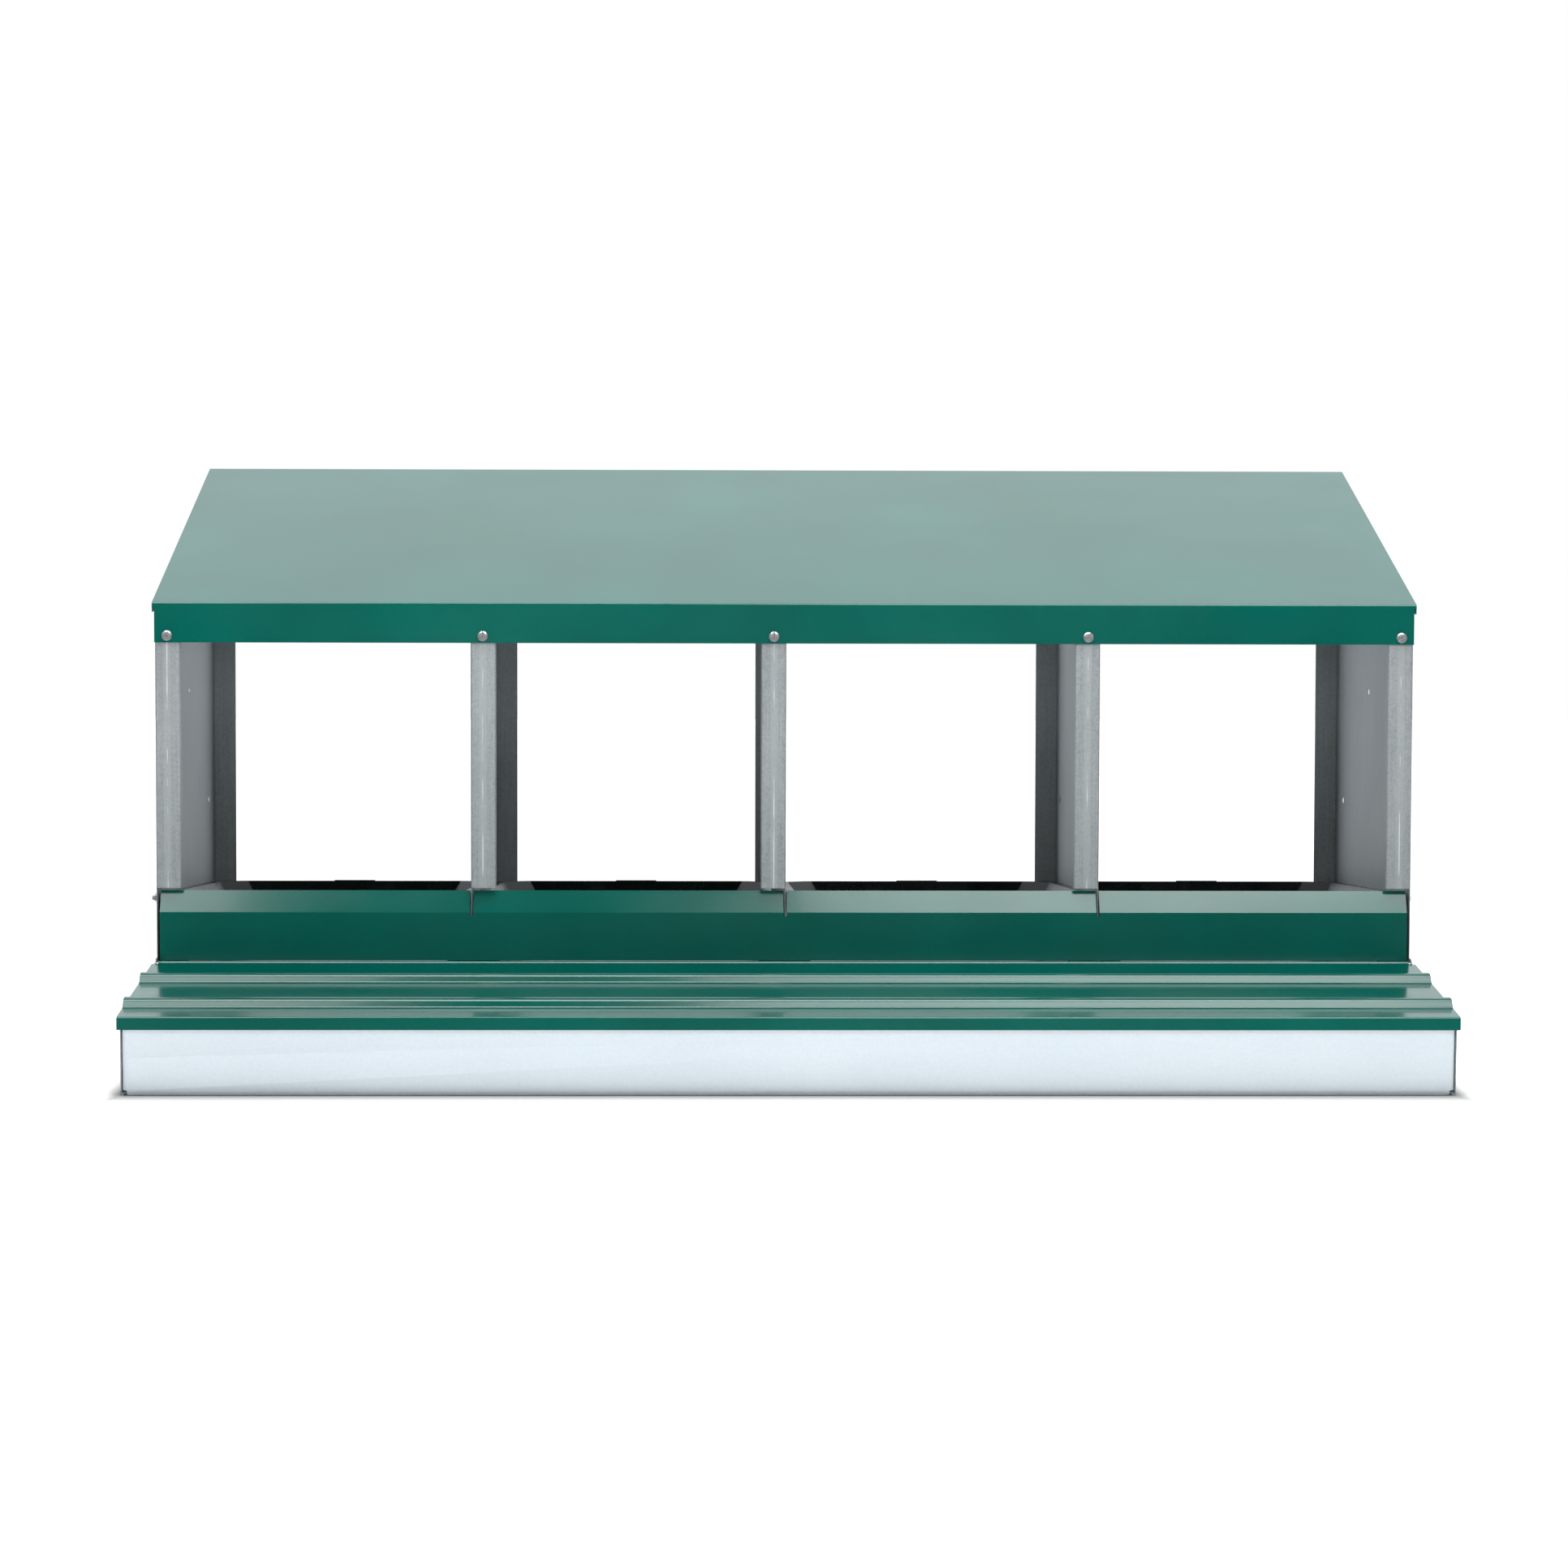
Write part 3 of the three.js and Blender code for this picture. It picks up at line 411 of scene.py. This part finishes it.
def cut_slot(piece, scratch):
    """Cuts the screwdriver slot across a head, and keeps the result as the piece's own mesh."""
    cut = piece.modifiers.new("slot", "BOOLEAN")
    cut.object = scratch
    cut.operation = "DIFFERENCE"
    cut.solver = "EXACT"
    edges = piece.modifiers.new("edges", "BEVEL")
    edges.width = 0.1 * MM
    edges.segments = 2
    edges.limit_method = "ANGLE"
    edges.angle_limit = math.radians(50)
    edges.harden_normals = True
    bpy.context.view_layer.update()
    made = bpy.data.meshes.new_from_object(piece.evaluated_get(bpy.context.evaluated_depsgraph_get()))
    piece.modifiers.clear()
    return made


def slotted_screw(name, length):
    mesh = screw_mesh(name, length)
    blank = bpy.data.objects.new(name + "_blank", mesh)
    half, deep, reach = SLOT_WIDTH / 2, HEAD_HEIGHT - SLOT_DEPTH, HEAD_RADIUS + 2
    corners = [
        (x, y, z) for z in (deep, HEAD_HEIGHT + 2) for y in (-reach, reach) for x in (-half, half)
    ]
    sides = [(0, 1, 3, 2), (4, 6, 7, 5), (0, 4, 5, 1), (2, 3, 7, 6), (0, 2, 6, 4), (1, 5, 7, 3)]
    cutter = bpy.data.objects.new(name + "_cutter", mesh_of(name + "_cut", corners, sides))
    for scratch in (blank, cutter):
        bpy.context.scene.collection.objects.link(scratch)
    made = cut_slot(blank, cutter)
    made.name = name + "_slotted"
    for scratch in (blank, cutter):
        bpy.data.objects.remove(scratch)
    return made


def nut_mesh():
    """M5 hexagon nut, chamfered on both faces, threaded bore; centred on its own middle."""
    half = NUT_HEIGHT / 2
    washer = NUT_FLAT - 0.12

    def shape(angle, radius, z):
        if radius < SHANK + 0.01:
            turn = (z / THREAD_PITCH - angle / (2 * math.pi)) % 1
            return SHANK - 0.3 * abs(2 * turn - 1), z
        if radius < NUT_FLAT:
            return radius, z
        across = (angle + math.pi / 6) % (math.pi / 3) - math.pi / 6
        corner = NUT_FLAT / math.cos(across)
        drop = max(0.0, corner - washer) * math.tan(math.radians(30))
        return corner, math.copysign(half - drop, z)

    bore = [
        (SHANK, half - 0.35 - i * (NUT_HEIGHT - 0.7) / BORE_RINGS) for i in range(BORE_RINGS + 1)
    ]
    profile = [
        *reversed(bore),
        (2.9, half), (washer, half), (NUT_FLAT, half),
        (NUT_FLAT, -half), (washer, -half), (2.9, -half),
        bore[-1],
    ]
    return turned("nut", profile, segments=48, shape=shape)


def rivet_mesh():
    """Blind rivet: domed head on Z = 0 with the broken mandrel in its pit, bulbed tail below."""
    dome = [(3.4 * math.cos(a), 0.15 + 1.05 * math.sin(a)) for a in (
        math.pi / 2 * i / 8 for i in range(7)
    )]
    tail = [(radius, -RIVET_GRIP - below) for radius, below in (
        (0, 2.15), (0.9, 2.15), (1.1, 1.9), (2.1, 1.5), (2.45, 0.7), (2.1, 0),
    )]
    profile = [
        *tail, (1.6, -RIVET_GRIP), (1.6, 0), (3.3, 0), *dome,
        (1.05, 1.1), (0.95, 0.6), (0.85, 0.6), (0.8, 0.85), (0, 0.9),
    ]
    return turned("rivet", profile)


def facing(direction, place, roll=0.0):
    """Matrix that stands a piece's Z along a direction at a place."""
    turn = Vector(direction).to_track_quat("Z", "Y").to_matrix().to_4x4()
    return Matrix.Translation(place) @ turn @ Matrix.Rotation(roll, 4, "Z")


def add_fasteners():
    """Detailed screws, nuts and rivets in place of the plain CAD ones."""
    chance = random.Random(SEED)
    screw = slotted_screw("screw", SCREW_LENGTH)
    kick_bolt = slotted_screw("kick_bolt", KICK_BOLT_LENGTH)
    nut = nut_mesh()
    rivet = rivet_mesh()
    for node in sorted(NODES):
        low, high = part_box(node)
        place = (low + high) / 2
        kind = node.rsplit("_", 1)[0]
        roll = chance.uniform(0, math.pi)
        if kind == "roof_front_screw":
            place.y = low.y + HEAD_HEIGHT * MM
            mesh, matrix = screw, facing((0, -1, 0), place, roll)
        elif kind in ("roof_rear_screw", "pan_screw"):
            place.y = high.y - HEAD_HEIGHT * MM
            mesh, matrix = screw, facing((0, 1, 0), place, roll)
        elif kind == "kick_bolt":
            place.x = high.x - HEAD_HEIGHT * MM
            mesh, matrix = kick_bolt, facing((1, 0, 0), place, roll)
        elif kind in ("roof_front_nut", "roof_rear_nut", "pan_nut"):
            mesh, matrix = nut, facing((0, 1, 0), place)
        elif kind == "kick_nut":
            mesh, matrix = nut, facing((1, 0, 0), place)
        elif kind in ("tray_rivet", "pan_rivet"):
            out = 1 if place.x > MIDDLE_X else -1
            place.x = (high.x if out > 0 else low.x) - out * RIVET_HEAD_HEIGHT * MM
            mesh, matrix = rivet, facing((out, 0, 0), place)
        else:
            continue
        add_fastener(node, mesh, matrix)


add_fasteners()


# ------------------------------------------------------------------ stage, light and camera

TRAY_FOOT_BACK = 5 * MM  # the tray stands on a foot this far behind its leaning top edge
FLOOR_HALF = 9.0
SIDE_FADE = 2.5  # the shadow at the object's ends is narrower than in front by this much


def add_stage():
    """Pale floor, painted darker round the object as a contact shadow, with a painted glow that fades
    in away from it.
    """
    mesh = bpy.data.meshes.new("floor")
    ends = (-FLOOR_HALF, FLOOR_HALF)
    mesh.from_pydata([(x, y, 0.0) for y in ends for x in ends], [], [(0, 1, 3, 2)])
    floor = bpy.data.objects.new("floor", mesh)
    bpy.context.scene.collection.objects.link(floor)
    shader = Shader("pale_floor_painted_shadow_and_glow")
    shader.set(Roughness=1.0, Specular_IOR_Level=0.0, Emission_Color=(1, 1, 1, 1))
    # The object stands on its tray's foot and its panels; round them the floor is painted darker as a
    # contact shadow, and its painted glow fades in away from them.
    axes = shader.axes()
    tray_low, tray_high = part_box("egg_tray")
    foot_front = tray_low.y + TRAY_FOOT_BACK
    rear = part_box("divider_2")[1].y
    away = []
    for axis, low, high, fade in (
        ("X", tray_low.x, tray_high.x, SIDE_FADE),
        ("Y", foot_front, rear, 1.0),
    ):
        off = shader.math("ABSOLUTE", shader.math("SUBTRACT", axes[axis], (low + high) / 2), 0.0)
        past = shader.math("MAXIMUM", shader.math("SUBTRACT", off, (high - low) / 2), 0.0)
        away.append(shader.multiply(past, fade))
    reach = shader.math("MAXIMUM", away[0], away[1])
    pale = shader.ramp(shader.noise(3, 2), [
        (0.3, (0.6, 0.6, 0.6, 1)),
        (0.7, (0.63, 0.63, 0.63, 1)),
    ])
    # Painted contact shadow: the floor's colour darkens to grey within 45 mm of the object, less far
    # out at its ends.
    painted_contact_shadow = shader.span(reach, 0.0, 1.0, 2 * MM, 45 * MM)
    shader.feed(shader.mix(painted_contact_shadow, (0.3, 0.3, 0.3, 1), pale), "Base Color")
    # Painted light: the floor glows, and the glow is held off within 14 mm of the object and ramps up
    # beyond, a painted shadow round it.
    painted_glow_near = shader.span(reach, 0.0, 0.62, 14 * MM, 60 * MM)
    painted_glow_far = shader.span(reach, 0.0, 0.38, 60 * MM, 160 * MM)
    shader.feed(shader.add(painted_glow_near, painted_glow_far), "Emission Strength")
    mesh.materials.append(shader.material)
    floor.visible_glossy = False


def add_softbox(name, place, aim, width, height, radiance, glossy=True):
    """Rectangular area light of a given radiance, facing a point; glossy is off for a plain fill."""
    light = bpy.data.lights.new(name, "AREA")
    light.shape = "RECTANGLE"
    light.size = width
    light.size_y = height
    light.energy = radiance * math.pi * width * height
    lamp = bpy.data.objects.new(name, light)
    bpy.context.scene.collection.objects.link(lamp)
    lamp.visible_glossy = glossy
    lamp.location = place
    lamp.rotation_mode = "QUATERNION"
    lamp.rotation_quaternion = (Vector(aim) - Vector(place)).to_track_quat("-Z", "Y")


def add_world():
    """White cove behind the object, dark studio in front of it; plain white to the camera."""
    world = bpy.data.worlds.new("studio")
    bpy.context.scene.world = world
    world.use_nodes = True
    tree = world.node_tree
    background = tree.nodes["Background"]
    coords = tree.nodes.new("ShaderNodeTexCoord")
    split = tree.nodes.new("ShaderNodeSeparateXYZ")
    tree.links.new(coords.outputs["Generated"], split.inputs["Vector"])
    ramp = tree.nodes.new("ShaderNodeValToRGB")
    ramp.color_ramp.elements[0].position = 0.15
    ramp.color_ramp.elements[0].color = (0.02, 0.02, 0.02, 1)
    ramp.color_ramp.elements[1].position = 0.6
    ramp.color_ramp.elements[1].color = (1.5, 1.56, 1.6, 1)
    tree.links.new(split.outputs["Y"], ramp.inputs["Fac"])
    path = tree.nodes.new("ShaderNodeLightPath")
    mix = tree.nodes.new("ShaderNodeMix")
    mix.data_type = "RGBA"
    tree.links.new(path.outputs["Is Camera Ray"], mix.inputs["Factor"])
    colours = [socket for socket in mix.inputs if socket.type == "RGBA"]
    tree.links.new(ramp.outputs["Color"], colours[0])
    colours[1].default_value = (1, 1, 1, 1)
    mixed = [socket for socket in mix.outputs if socket.type == "RGBA"][0]
    tree.links.new(mixed, background.inputs["Color"])
    # Round the horizon the cove is dim, as the openings between the panels see it there.
    height = tree.nodes.new("ShaderNodeMath")
    height.operation = "ABSOLUTE"
    tree.links.new(split.outputs["Z"], height.inputs[0])
    level = tree.nodes.new("ShaderNodeMapRange")
    for key, value in (("From Min", 0.1), ("From Max", 0.5), ("To Min", 0.38), ("To Max", 1.0)):
        level.inputs[key].default_value = value
    tree.links.new(height.outputs["Value"], level.inputs["Value"])
    strength = tree.nodes.new("ShaderNodeMath")
    strength.operation = "MAXIMUM"
    tree.links.new(level.outputs["Result"], strength.inputs[0])
    tree.links.new(path.outputs["Is Camera Ray"], strength.inputs[1])
    tree.links.new(strength.outputs["Value"], background.inputs["Strength"])


def add_camera():
    """Camera at the height of the roof's eaves, almost square to the front, with a long lens."""
    camera = bpy.data.cameras.new("camera")
    camera.sensor_width = 36.0
    camera.lens = 70.43
    camera.shift_x = 0.0244
    camera.shift_y = -0.0316
    camera.clip_start = 0.1
    camera.clip_end = 50
    holder = bpy.data.objects.new("camera", camera)
    bpy.context.scene.collection.objects.link(holder)
    place = Vector((MIDDLE_X - 0.0793, FRONT_PLANE - 2.9239, 0.4385))
    yaw, pitch, roll = map(math.radians, (0.808, 2.374, -0.124))
    forward = Vector((
        math.sin(yaw) * math.cos(pitch),
        math.cos(yaw) * math.cos(pitch),
        -math.sin(pitch),
    ))
    level = Vector((math.cos(yaw), -math.sin(yaw), 0))
    upright = level.cross(forward)
    right = level * math.cos(roll) - upright * math.sin(roll)
    up = level * math.sin(roll) + upright * math.cos(roll)
    axes = Matrix((right, up, -forward)).transposed().to_4x4()
    holder.matrix_world = Matrix.Translation(place) @ axes
    bpy.context.scene.camera = holder


add_stage()
add_world()
add_softbox("softbox_right", (0.64, -1.5, 1.93), (0.1, -0.08, 0.2), 1.3, 1.08, 6.7)
add_softbox("softbox_left", (-1.14, -1.5, 1.93), (-0.4, -0.08, 0.2), 0.78, 1.08, 5.9)
add_softbox("softbox_top", (0, -0.42, 2.35), (0, -0.3, 0.2), 2.4, 0.8, 8.5)
add_softbox("front_fill", (0, -2.7, 0.5), (0, 0.1, 0.3), 1.8, 0.7, 6.0, glossy=False)
add_softbox("table_glow", (0, -0.43, 0.004), (0, -0.43, 1.0), 2.6, 0.31, 0.45)
add_camera()
bpy.context.scene.view_settings.view_transform = "Standard"

bpy.context.view_layer.update()
